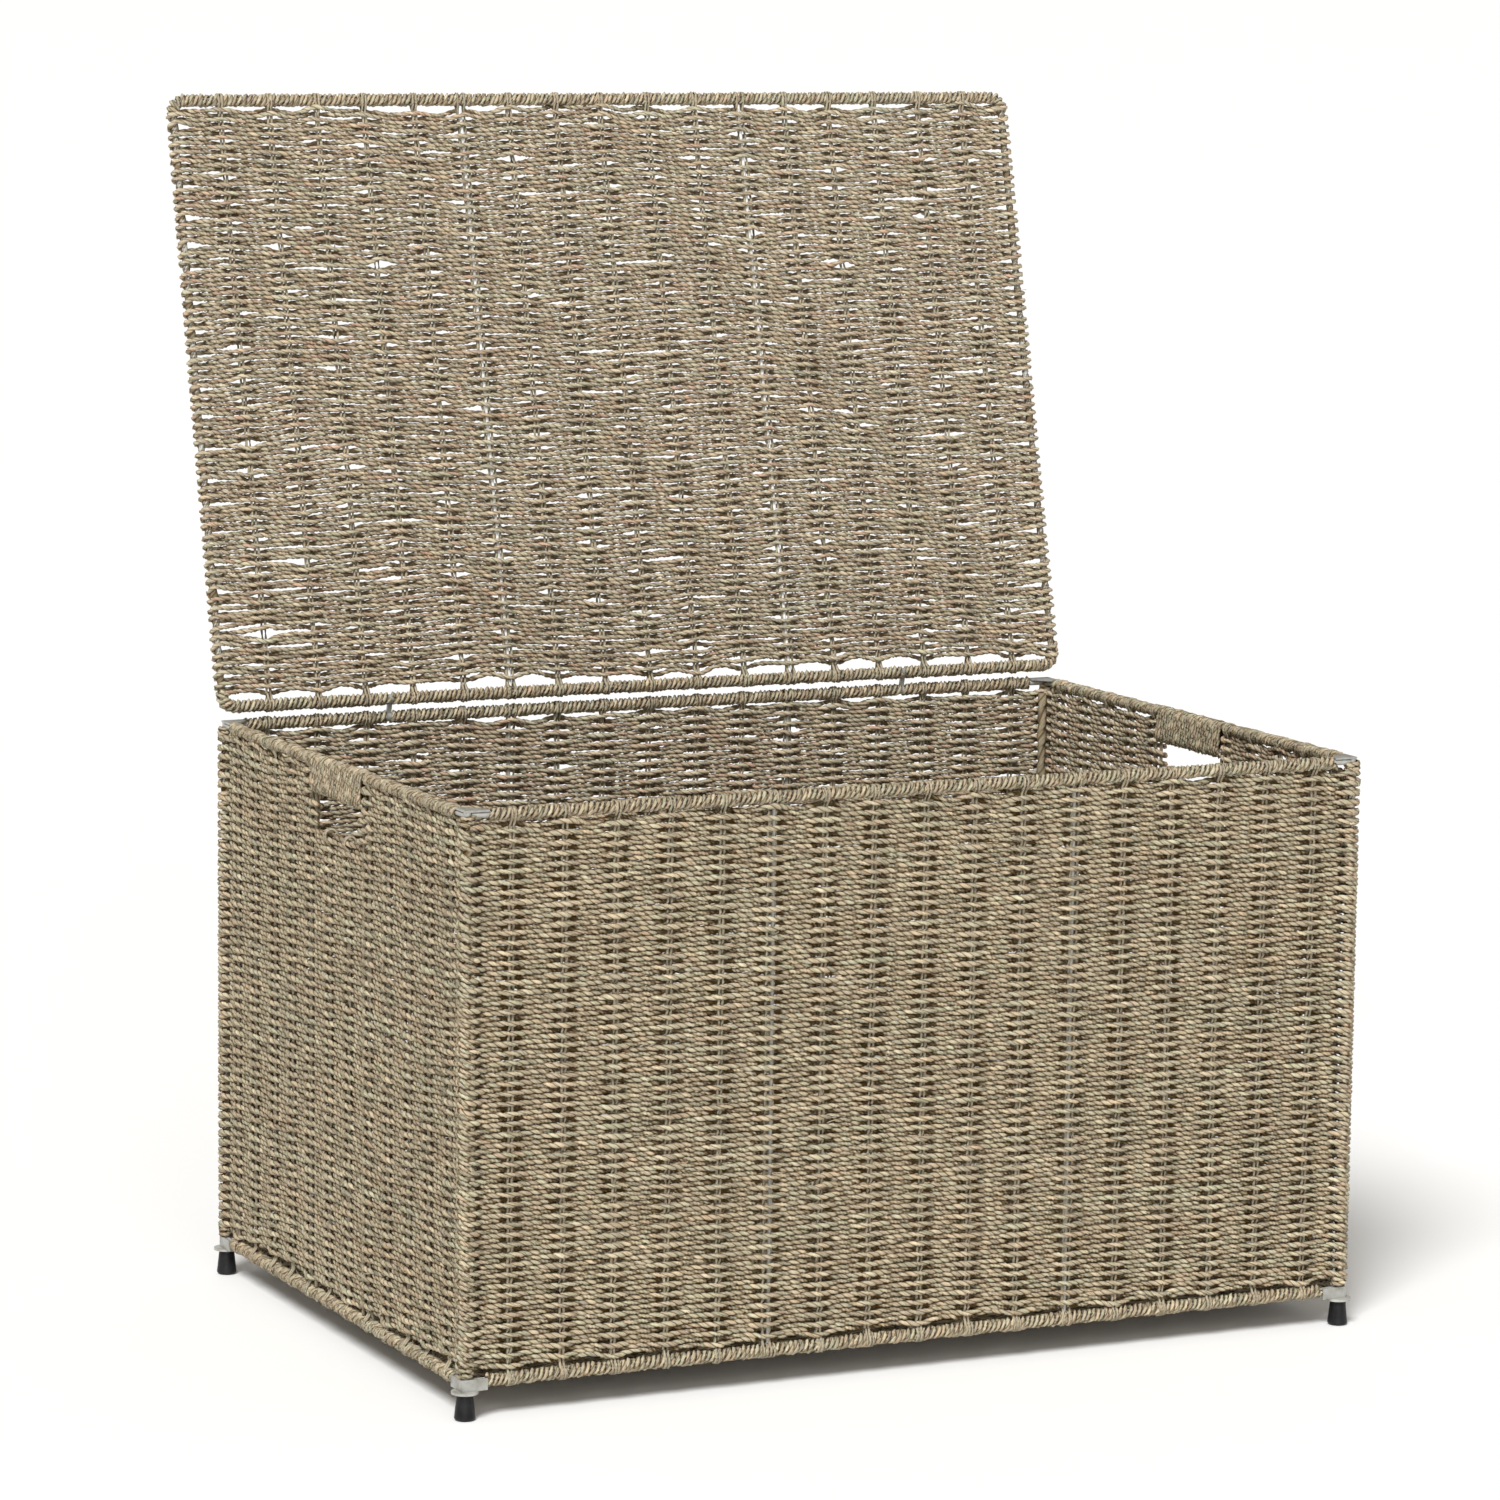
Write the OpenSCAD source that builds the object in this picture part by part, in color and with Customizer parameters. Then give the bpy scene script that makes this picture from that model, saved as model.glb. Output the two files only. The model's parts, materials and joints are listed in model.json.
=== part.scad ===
// Storage trunk on four feet: a welded rod frame, cord-wrapped rails, woven
// panels, two hand holes and a woven lid that turns on its rear rod.
// Origin: on the floor, under the middle of the box round trunk and open lid.
// +X runs along the trunk, +Y from its front to its hinge side, +Z up.

/* [Trunk] */
// Length between the corner post axes
trunk_l = 800; // [600:10:1000]
// Depth between the corner post axes
trunk_d = 535; // [420:5:680]
// Height from the bottom rails to the top rails
trunk_h = 451; // [300:1:600]
// Height of the bottom rails above the floor
rail_lift = 30; // [28:1:45]

/* [Frame] */
// Diameter of a corner post
post_dia = 6; // [5:0.5:8]
// Diameter of a rail rod
rod_dia = 5; // [4:0.5:6]
// Diameter of a panel wire
wire_dia = 3; // [2:0.5:4]
// Distance of the panel wires from the middle
wire_out = 136; // [90:1:200]
// Diameter of the flange on each post
flange_dia = 22; // [18:1:28]
// Thickness of that flange
flange_t = 2; // [1.5:0.5:3]
// Thickness of the corner plates and brackets
plate_t = 1.5; // [1:0.25:2.5]

/* [Weave] */
// Outer diameter of the cord wrapping on a rail
wrap_dia = 11; // [9:0.5:14]
// Thickness of a woven panel
weave_t = 8; // [6:0.5:10]
// Distance from a post axis to the start of the wrapping
wrap_start = 18; // [15:1:26]

/* [Hand holes] */
// Width of a hand hole
hole_w = 100; // [80:1:140]
// Height of a hand hole
hole_h = 30; // [24:1:50]
// Distance of the grip rod below the top rail
grip_drop = 21.5; // [16:0.5:30]
// How far the grip wrapping runs past the hole at each end
grip_past = 8; // [5:1:14]

/* [Feet] */
// Diameter of a foot at the floor
foot_dia = 17; // [15:0.5:24]
// Diameter of a foot under its flange
foot_top_dia = 13; // [11:0.5:18]
// Height of a foot
foot_h = 21; // [18:1:26]
// Depth of the stud in the foot
stud_l = 14; // [8:1:16]

/* [Lid] */
// Lean of the open lid behind upright, in degrees
lid_lean = 13.5; // [5:0.5:25]
// Height of the hinge axis above the top rails
hinge_up = 16.5; // [14:0.5:22]
// Distance of the hinge axis in front of the rear rail
hinge_in = 4; // [0:0.5:8]
// Distance of the closed lid's front rod behind the front rail
lid_short = 4; // [0:0.5:10]
// Reach of the lid's side rods beyond the post axes
lid_over = 4; // [0:0.5:8]
// Bend radius at the lid's corners
lid_bend = 10; // [8:1:20]
// Distance of a hinge strap from the middle
strap_out = 250; // [150:5:290]
// Width of a hinge strap
strap_w = 4; // [3:0.5:6]
// Wall of a strap's eye
eye_wall = 1.3; // [1:0.1:2]

/* [Clearances] */
// Gap between a woven piece and its neighbour
gap = 0.3; // [0.2:0.05:0.5]
// Radial gap between a rod and the wrapping or weave on it
snug = 0.2; // [0.1:0.05:0.3]
// Gap at the butt end of a rod
butt = 0.1; // [0.05:0.05:0.2]
// Radial running clearance of the hinge
run_gap = 0.07; // [0.03:0.01:0.1]
// Gap beside a strap in the wrapping
strap_gap = 1; // [0.5:0.25:2]

/* [Hidden] */
$fn = 48;

post_r = post_dia / 2;
rod_r = rod_dia / 2;
wire_r = wire_dia / 2;
wrap_r = wrap_dia / 2;
half_l = trunk_l / 2;
half_d = trunk_d / 2;
rail_lo = rail_lift;
rail_hi = rail_lift + trunk_h;
lid_l = trunk_d - hinge_in - lid_short;
lid_half = half_l + lid_over;
hinge_z = rail_hi + hinge_up;
// The box round trunk and lid runs from the front flanges to the lid's free edge.
y_front = -half_d - flange_dia / 2;
y_back = half_d - hinge_in + lid_l * sin(lid_lean) + wrap_r;
mid_y = -(y_front + y_back) / 2;
hinge_y = mid_y + half_d - hinge_in;
// Woven panels stop short of the post axes, of the rail axes and of the wrapping.
panel_in = max(post_r, weave_t / 2) + gap;
rail_in = wrap_r + gap;
bore_r = wire_r + snug;
strap_slot = strap_w + 2 * strap_gap;
grip_len = hole_w + 2 * grip_past;
grip_z = rail_hi - grip_drop;
hole_top = grip_z - wrap_r;
side_wire_y = hole_w / 2 + wire_dia;
bracket_h = rail_lo - foot_h - flange_t;

metal = "gainsboro";
seagrass = "tan";
weave_colour = "darkkhaki";
rubber = "dimgray";

module along_x(length) {
    rotate([0, 90, 0]) cylinder(h = length, r = rod_r, center = true);
}

module along_y(length) {
    rotate([90, 0, 0]) cylinder(h = length, r = rod_r, center = true);
}

// A tube of wrapping between two places on the X axis, round a rod on that axis.
module wrap_x(from, to) {
    translate([from, 0, 0]) rotate([0, 90, 0]) difference() {
        cylinder(h = to - from, r = wrap_r);
        translate([0, 0, -1]) cylinder(h = to - from + 2, r = rod_r + snug);
    }
}

// A plate or bracket outline at a corner: it reaches from outside the post inwards.
module at_corner(side, face, z) {
    translate([side * half_l, mid_y + face * half_d, z])
        mirror([side > 0 ? 1 : 0, 0, 0])
        mirror([0, face > 0 ? 1 : 0, 0])
        children();
}

module post(side, face) {
    color(metal) at_corner(side, face, 0) union() {
        translate([0, 0, foot_h - stud_l]) cylinder(h = rail_hi + rod_r - foot_h + stud_l, r = post_r);
        translate([0, 0, foot_h + butt]) cylinder(h = flange_t - butt, d = flange_dia);
    }
}

module foot(side, face) {
    color(rubber) at_corner(side, face, 0) difference() {
        rotate_extrude() polygon([
            [0, 0], [foot_dia / 2 - 1, 0], [foot_dia / 2, 1.5],
            [foot_top_dia / 2, foot_h - 1], [foot_top_dia / 2 - 1, foot_h], [0, foot_h]
        ]);
        translate([0, 0, foot_h - stud_l - butt]) cylinder(h = stud_l + 1, r = post_r + butt);
    }
}

// An angle of sheet steel round the outside of a post, above the flange.
module bracket(side, face) {
    leg = wrap_start - gap;
    out = post_r + snug;
    color(metal) at_corner(side, face, foot_h + flange_t + butt) difference() {
        translate([-out - plate_t, -out - plate_t, 0]) cube([out + plate_t + leg, out + plate_t + leg, bracket_h + rod_r]);
        translate([-out, -out, -1]) cube([leg + out + 1, leg + out + 1, bracket_h + rod_r + 2]);
    }
}

// A three-cornered plate on top of the post and the two rods that meet there.
module cap_plate(side, face) {
    leg = wrap_start - gap;
    color(metal) at_corner(side, face, rail_hi + rod_r + butt)
        linear_extrude(height = plate_t)
        polygon([[-post_r, -post_r], [leg, -post_r], [leg, post_r], [post_r, leg], [-post_r, leg]]);
}

// Rails along the trunk's length: face is -1 at the front, 1 at the rear.
module long_rod(face, z) {
    color(metal) translate([0, mid_y + face * half_d, z]) along_x(trunk_l - 2 * (post_r + butt));
}

// Rails across the trunk's depth: side is -1 at the left, 1 at the right.
module short_rod(side, z) {
    color(metal) translate([side * half_l, mid_y, z]) along_y(trunk_d - 2 * (post_r + butt));
}

module long_wrap(face, z) {
    color(seagrass) translate([0, mid_y + face * half_d, z]) wrap_x(-half_l + wrap_start, half_l - wrap_start);
}

module short_wrap(side, z) {
    color(seagrass) translate([side * half_l, mid_y, z]) rotate([0, 0, 90])
        wrap_x(-half_d + wrap_start, half_d - wrap_start);
}

// The rear top wrapping is open at both straps.
module hinge_side_wrap(half) {
    edge = strap_slot / 2;
    wrap_x(-half, -strap_out - edge);
    wrap_x(-strap_out + edge, strap_out - edge);
    wrap_x(strap_out + edge, half);
}

module top_wrap_rear() {
    color(seagrass) translate([0, mid_y + half_d, rail_hi]) hinge_side_wrap(half_l - wrap_start);
}

// The side wrapping is open where the thick grip wrapping is.
module top_wrap_side(side) {
    color(seagrass) translate([side * half_l, mid_y, rail_hi]) rotate([0, 0, 90]) union() {
        wrap_x(-half_d + wrap_start, -grip_len / 2 - gap);
        wrap_x(grip_len / 2 + gap, half_d - wrap_start);
    }
}

module wire_bores(places, z_from, z_to) {
    for (x = places) translate([x, 0, z_from]) cylinder(h = z_to - z_from, r = bore_r);
}

module upright_wires(places, z_from, z_to) {
    for (x = places) translate([x, 0, z_from]) cylinder(h = z_to - z_from, r = wire_r);
}

module long_panel(face) {
    length = trunk_l - 2 * panel_in;
    low = rail_lo + rail_in;
    high = rail_hi - rail_in;
    color(weave_colour) translate([0, mid_y + face * half_d, 0]) difference() {
        translate([-length / 2, -weave_t / 2, low]) cube([length, weave_t, high - low]);
        wire_bores([-wire_out, wire_out], low - 1, high + 1);
    }
}

// A side panel has the hand hole, and a wider notch above it for the grip.
module side_panel(side) {
    length = trunk_d - 2 * panel_in;
    low = rail_lo + rail_in;
    high = rail_hi - rail_in;
    notch_w = grip_len + 2 * gap;
    color(weave_colour) translate([side * half_l, mid_y, 0]) rotate([0, 0, 90]) difference() {
        translate([-length / 2, -weave_t / 2, low]) cube([length, weave_t, high - low]);
        translate([-hole_w / 2, -weave_t, hole_top - hole_h]) cube([hole_w, 2 * weave_t, hole_h + wrap_r]);
        translate([-notch_w / 2, -weave_t, hole_top - gap]) cube([notch_w, 2 * weave_t, high - hole_top + gap + 1]);
        wire_bores([-side_wire_y, side_wire_y], low - 1, high + 1);
    }
}

module panel_base() {
    length = trunk_l - 2 * rail_in;
    depth = trunk_d - 2 * rail_in;
    cut = wrap_start - rail_in;
    color(weave_colour) translate([0, mid_y, rail_lo]) difference() {
        translate([0, 0, -weave_t / 2]) linear_extrude(height = weave_t) polygon([
            [-length / 2 + cut, -depth / 2], [length / 2 - cut, -depth / 2],
            [length / 2, -depth / 2 + cut], [length / 2, depth / 2 - cut],
            [length / 2 - cut, depth / 2], [-length / 2 + cut, depth / 2],
            [-length / 2, depth / 2 - cut], [-length / 2, -depth / 2 + cut]
        ]);
        for (x = [-wire_out, wire_out]) translate([x, 0, 0]) rotate([90, 0, 0])
            cylinder(h = trunk_d, r = bore_r, center = true);
    }
}

module long_wires(face) {
    color(metal) translate([0, mid_y + face * half_d, 0])
        upright_wires([-wire_out, wire_out], rail_lo + rail_in, rail_hi - rail_in);
}

module side_wires(side) {
    color(metal) translate([side * half_l, mid_y, 0]) rotate([0, 0, 90])
        upright_wires([-side_wire_y, side_wire_y], rail_lo + rail_in, hole_top - gap);
}

module wires_base() {
    color(metal) translate([0, mid_y, rail_lo]) for (x = [-wire_out, wire_out])
        translate([x, 0, 0]) rotate([90, 0, 0]) cylinder(h = trunk_d - 2 * rail_in, r = wire_r, center = true);
}

module grip_rod(side) {
    color(metal) translate([side * half_l, mid_y, grip_z]) along_y(grip_len);
}

// One thick wrapping holds the top rail and the grip rod together over the hole.
module grip_wrap(side) {
    color(seagrass) translate([side * half_l, mid_y - grip_len / 2, rail_hi]) rotate([-90, 0, 0])
        linear_extrude(height = grip_len) difference() {
            union() {
                circle(r = wrap_r);
                translate([0, grip_drop]) circle(r = wrap_r);
                translate([-wrap_r, 0]) square([wrap_dia, grip_drop]);
            }
            circle(r = rod_r + snug);
            translate([0, grip_drop]) circle(r = rod_r + snug);
        }
}

// A strap is closed round the rear rail and leaves the lid's rod free to turn.
module hinge_strap(side) {
    web = sqrt(hinge_in * hinge_in + hinge_up * hinge_up);
    color(metal) translate([side * strap_out + strap_w / 2, mid_y + half_d, rail_hi])
        rotate([atan2(hinge_in, hinge_up), 0, 0]) rotate([0, -90, 0])
        linear_extrude(height = strap_w) difference() {
            union() {
                circle(r = rod_r + snug + eye_wall);
                translate([web, 0]) circle(r = rod_r + run_gap + eye_wall);
                translate([0, -eye_wall]) square([web, 2 * eye_wall]);
            }
            circle(r = rod_r + snug);
            translate([web, 0]) circle(r = rod_r + run_gap);
        }
}

// Lid pieces are drawn upright above the hinge axis, then leaned back.
module on_lid() {
    translate([0, hinge_y, hinge_z]) rotate([-lid_lean, 0, 0]) children();
}

module lid_corner_bend() {
    rotate([90, 0, 0]) rotate_extrude(angle = 90) translate([lid_bend, 0]) circle(r = rod_r);
}

// A rod along the lid with a bend up to the side rod at each end.
module lid_long_rod() {
    straight = 2 * (lid_half - lid_bend);
    union() {
        along_x(straight);
        translate([straight / 2, 0, lid_bend]) mirror([0, 0, 1]) lid_corner_bend();
        translate([-straight / 2, 0, lid_bend]) mirror([1, 0, 0]) mirror([0, 0, 1]) lid_corner_bend();
    }
}

module lid_rod_rear() {
    color(metal) on_lid() lid_long_rod();
}

module lid_rod_front() {
    color(metal) on_lid() translate([0, 0, lid_l]) mirror([0, 0, 1]) lid_long_rod();
}

module lid_side_rod(side) {
    length = lid_l - 2 * (lid_bend + butt);
    color(metal) on_lid() translate([side * lid_half, 0, lid_l / 2])
        cylinder(h = length, r = rod_r, center = true);
}

module lid_wrap_rear() {
    color(seagrass) on_lid() hinge_side_wrap(lid_half - lid_bend);
}

module lid_wrap_front() {
    color(seagrass) on_lid() translate([0, 0, lid_l]) wrap_x(-lid_half + lid_bend, lid_half - lid_bend);
}

module lid_panel() {
    width = 2 * (lid_half - rod_r - gap);
    height = lid_l - 2 * rail_in;
    cut = lid_bend;
    color(weave_colour) on_lid() difference() {
        translate([0, weave_t / 2, lid_l / 2]) rotate([90, 0, 0]) linear_extrude(height = weave_t) polygon([
            [-width / 2 + cut, -height / 2], [width / 2 - cut, -height / 2],
            [width / 2, -height / 2 + cut], [width / 2, height / 2 - cut],
            [width / 2 - cut, height / 2], [-width / 2 + cut, height / 2],
            [-width / 2, height / 2 - cut], [-width / 2, -height / 2 + cut]
        ]);
        wire_bores([-wire_out, wire_out], 0, lid_l);
    }
}

module lid_wires() {
    color(metal) on_lid() upright_wires([-wire_out, wire_out], rail_in, lid_l - rail_in);
}

post(-1, -1);  // post_front_left
post(1, -1);  // post_front_right
post(-1, 1);  // post_rear_left
post(1, 1);  // post_rear_right
foot(-1, -1);  // foot_front_left
foot(1, -1);  // foot_front_right
foot(-1, 1);  // foot_rear_left
foot(1, 1);  // foot_rear_right
bracket(-1, -1);  // bracket_front_left
bracket(1, -1);  // bracket_front_right
bracket(-1, 1);  // bracket_rear_left
bracket(1, 1);  // bracket_rear_right
cap_plate(-1, -1);  // cap_plate_front_left
cap_plate(1, -1);  // cap_plate_front_right
cap_plate(-1, 1);  // cap_plate_rear_left
cap_plate(1, 1);  // cap_plate_rear_right
long_rod(-1, rail_hi);  // top_rod_front
long_rod(1, rail_hi);  // top_rod_rear
short_rod(-1, rail_hi);  // top_rod_left
short_rod(1, rail_hi);  // top_rod_right
long_rod(-1, rail_lo);  // bottom_rod_front
long_rod(1, rail_lo);  // bottom_rod_rear
short_rod(-1, rail_lo);  // bottom_rod_left
short_rod(1, rail_lo);  // bottom_rod_right
long_wrap(-1, rail_hi);  // top_wrap_front
top_wrap_rear();
top_wrap_side(-1);  // top_wrap_left
top_wrap_side(1);  // top_wrap_right
long_wrap(-1, rail_lo);  // bottom_wrap_front
long_wrap(1, rail_lo);  // bottom_wrap_rear
short_wrap(-1, rail_lo);  // bottom_wrap_left
short_wrap(1, rail_lo);  // bottom_wrap_right
long_panel(-1);  // panel_front
long_panel(1);  // panel_rear
side_panel(-1);  // panel_left
side_panel(1);  // panel_right
panel_base();
long_wires(-1);  // wires_front
long_wires(1);  // wires_rear
side_wires(-1);  // wires_left
side_wires(1);  // wires_right
wires_base();
grip_rod(-1);  // grip_rod_left
grip_rod(1);  // grip_rod_right
grip_wrap(-1);  // grip_wrap_left
grip_wrap(1);  // grip_wrap_right
hinge_strap(-1);  // hinge_strap_left
hinge_strap(1);  // hinge_strap_right
lid_rod_rear();
lid_rod_front();
lid_side_rod(-1);  // lid_rod_left
lid_side_rod(1);  // lid_rod_right
lid_wrap_rear();
lid_wrap_front();
lid_panel();
lid_wires();
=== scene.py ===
# %% [markdown]
# # A woven storage trunk, piece by piece
# The trunk is a frame of thin steel rods. Its rails are wound with seagrass cord, and its walls, base and
# lid are woven from one long twisted cord each, over pairs of thin upright cords. Every step below says
# what a piece is on the real trunk, how it could be made in Blender, and why this way was chosen. The CAD
# frame gives every place and size.

# %% Load the frame
import json
import math

import bpy
import numpy as np
from mathutils import Matrix, Vector


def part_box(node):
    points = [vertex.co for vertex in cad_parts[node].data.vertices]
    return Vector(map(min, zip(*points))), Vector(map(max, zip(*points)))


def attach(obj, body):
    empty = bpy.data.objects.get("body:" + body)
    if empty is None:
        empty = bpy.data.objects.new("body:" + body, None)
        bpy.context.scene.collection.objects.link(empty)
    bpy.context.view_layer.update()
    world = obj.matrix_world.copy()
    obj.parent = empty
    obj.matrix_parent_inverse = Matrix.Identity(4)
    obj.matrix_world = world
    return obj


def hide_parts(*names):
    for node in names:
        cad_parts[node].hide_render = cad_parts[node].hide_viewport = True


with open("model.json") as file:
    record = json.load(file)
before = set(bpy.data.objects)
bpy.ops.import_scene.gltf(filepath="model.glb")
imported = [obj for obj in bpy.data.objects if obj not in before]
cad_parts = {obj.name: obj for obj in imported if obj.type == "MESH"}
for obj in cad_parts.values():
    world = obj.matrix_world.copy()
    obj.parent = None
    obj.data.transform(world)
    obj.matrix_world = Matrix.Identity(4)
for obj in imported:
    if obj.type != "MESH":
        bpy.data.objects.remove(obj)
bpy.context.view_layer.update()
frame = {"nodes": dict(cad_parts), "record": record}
nodes = frame["nodes"]
bpy.ops.object.select_all(action="DESELECT")
MM = 0.001


def middle(node):
    """The middle of a CAD node's box."""
    low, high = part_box(node)
    return (Vector(low) + Vector(high)) / 2


# %% [markdown]
# ## The camera
# A long lens from a few metres away keeps the trunk's edges nearly parallel, as in a catalogue. The
# camera is built from its viewing direction: a turn to the side, a tilt down and a very small roll. A
# matrix made of its right, up and back directions says this more plainly than three Euler angles would.

# %% Camera
trunk_left = middle("post_front_left").x
trunk_right = middle("post_front_right").x
front_y = middle("post_front_left").y
rear_y = middle("post_rear_left").y
rail_low = middle("bottom_rod_front").z
rail_high = middle("top_rod_front").z
trunk_base = Vector((0, (front_y + rear_y) / 2, rail_low))

CAMERA_AT = trunk_base + Vector((-2.109, -4.331, 1.145))
FAR_FLOOR = 500
TURN, TILT, ROLL = (math.radians(a) for a in (25.65, 8.27, 0.67))
LENS, SENSOR = 138.0, 36.0

ahead = Vector((math.sin(TURN) * math.cos(TILT), math.cos(TURN) * math.cos(TILT), -math.sin(TILT)))
level_right = ahead.cross(Vector((0, 0, 1))).normalized()
level_up = level_right.cross(ahead)
right = math.cos(ROLL) * level_right + math.sin(ROLL) * level_up
up = math.cos(ROLL) * level_up - math.sin(ROLL) * level_right
bpy.ops.object.camera_add()
camera = bpy.context.object
camera.name = "camera"
turned = Matrix((right, up, -ahead)).transposed().to_4x4()
camera.matrix_world = Matrix.Translation(CAMERA_AT) @ turned
camera.data.sensor_width = SENSOR
camera.data.lens = LENS
camera.data.clip_end = FAR_FLOOR
bpy.context.scene.camera = camera
print("camera", [round(c, 3) for c in CAMERA_AT], "lens", LENS, "mm")

# %% [markdown]
# ## Floor and light
# A pale floor and a pale sky are enough for a studio. One large soft lamp, high at the front left, gives
# the cords their gentle shading, a weaker and lower one opens the shadows under them, and the sky fills
# the rest.

# %% Floor and lamps
FLOOR_SIZE, FLOOR_DROP = 400, 0.5 * MM
WARM_WHITE, SKY_STRENGTH = (1.0, 0.965, 0.90, 1), 0.34
bpy.ops.mesh.primitive_plane_add(size=FLOOR_SIZE, location=(0, 0, -FLOOR_DROP))
floor = bpy.context.object
floor.name = "studio_floor"

world = bpy.data.worlds.new("studio_sky")
bpy.context.scene.world = world
world.use_nodes = True
sky = world.node_tree.nodes["Background"]
sky.inputs["Color"].default_value = WARM_WHITE
sky.inputs["Strength"].default_value = SKY_STRENGTH


def soft_sun(name, side_deg, height_deg, spread_deg, strength):
    """A sun with soft edges. side_deg is measured from straight in front, towards the trunk's left."""
    side, height = math.radians(side_deg), math.radians(height_deg)
    level = math.cos(height)
    towards = Vector((-math.sin(side) * level, -math.cos(side) * level, math.sin(height)))
    bpy.ops.object.light_add(type="SUN", location=towards * 4)
    lamp = bpy.context.object
    lamp.name = name
    lamp.data.energy = strength
    lamp.data.angle = math.radians(spread_deg)
    lamp.rotation_euler = towards.to_track_quat("Z", "Y").to_euler()
    print(name, "strength", strength, "soft over", spread_deg, "degrees")


soft_sun("key_sun", 40, 47, 22, 3.3)
soft_sun("fill_sun", 20, 15, 40, 0.7)
bpy.context.scene.view_settings.view_transform = "Standard"

# %% [markdown]
# ## Shader parts that several finishes share
# Seagrass shows three things at once: long patches of straw, olive and rust along each cord, fine pale
# fibres that follow the twist, and dark lines where two strands meet, which are painted shade in the
# groove. All cords carry the attribute `cord`: metres along the cord, and the cosine and sine of the
# place round it, which turn with the twist.
# A node group reads it, so that the pattern lies along the strands wherever the cord bends. Metal and
# rubber share a second group, which dirties a surface in small patches.


# %% Node helpers
def add_node(tree, kind, **values):
    """A shader node with some of its properties and inputs set."""
    made = tree.nodes.new(kind)
    for name, value in values.items():
        if name in made.inputs:
            made.inputs[name].default_value = value
        else:
            setattr(made, name, value)
    return made


def maths(tree, operation, first, second=None, third=None):
    """A Math node on links or numbers; gives its output."""
    made = add_node(tree, "ShaderNodeMath", operation=operation)
    for place, value in enumerate((first, second, third)):
        if value is None:
            continue
        if isinstance(value, (int, float)):
            made.inputs[place].default_value = value
        else:
            tree.links.new(value, made.inputs[place])
    return made.outputs[0]


def kept_in(tree, value, gain, offset, most=1.0):
    """A value multiplied and shifted, and then kept between 0 and most; gives its output."""
    moved = maths(tree, "MULTIPLY_ADD", value, gain, offset)
    return maths(tree, "MINIMUM", maths(tree, "MAXIMUM", moved, 0.0), most)


def mixed(tree, factor, first, second):
    """A colour mix of links or colours; gives its output."""
    made = add_node(tree, "ShaderNodeMix", data_type="RGBA")
    for place, value in ((0, factor), (6, first), (7, second)):
        if isinstance(value, (int, float, tuple)):
            made.inputs[place].default_value = value
        else:
            tree.links.new(value, made.inputs[place])
    return made.outputs[2]


def noise(tree, vector, scale, detail=2.0, roughness=0.5):
    """A noise texture's factor on some coordinates."""
    made = add_node(tree, "ShaderNodeTexNoise", Scale=scale, Detail=detail, Roughness=roughness)
    tree.links.new(vector, made.inputs["Vector"])
    return made.outputs["Fac"]


def ramp(tree, factor, stops):
    """A colour ramp with stops (position, colour); gives its colour."""
    made = tree.nodes.new("ShaderNodeValToRGB")
    band = made.color_ramp
    band.elements[0].position, band.elements[0].color = stops[0]
    band.elements[1].position, band.elements[1].color = stops[-1]
    for position, colour in stops[1:-1]:
        band.elements.new(position).color = colour
    tree.links.new(factor, made.inputs["Fac"])
    return made.outputs["Color"]


def scaled(tree, vector, factors):
    """Coordinates multiplied by three factors."""
    made = add_node(tree, "ShaderNodeVectorMath", operation="MULTIPLY")
    made.inputs[1].default_value = factors
    tree.links.new(vector, made.inputs[0])
    return made.outputs[0]


# %% [markdown]
# ## The grass of the cords
# Dried seagrass runs from straw to tan, sage and olive, with rusty strands. A picture of grass would
# repeat and could not follow the twist, so noise is laid along each strand instead. Slow noise picks the
# colour of a whole stretch, quicker noise the single blades and fibres, and last the groove between the
# strands and the depth in the weave are shaded, because little light reaches them.

# %% Twisted grass group
STRAW = (0.590, 0.465, 0.285, 1)
TAN = (0.400, 0.265, 0.140, 1)
OLIVE = (0.300, 0.305, 0.170, 1)
SAGE = (0.480, 0.460, 0.300, 1)
RUST = (0.430, 0.200, 0.100, 1)
# A dark grass colour. Darker tufts and fibres mix towards it, and so does the painted shade in the grooves
# and deep in the weave.
DARK_AND_SHADE = (0.060, 0.029, 0.002, 1)
PALE = (0.920, 0.850, 0.700, 1)


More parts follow.
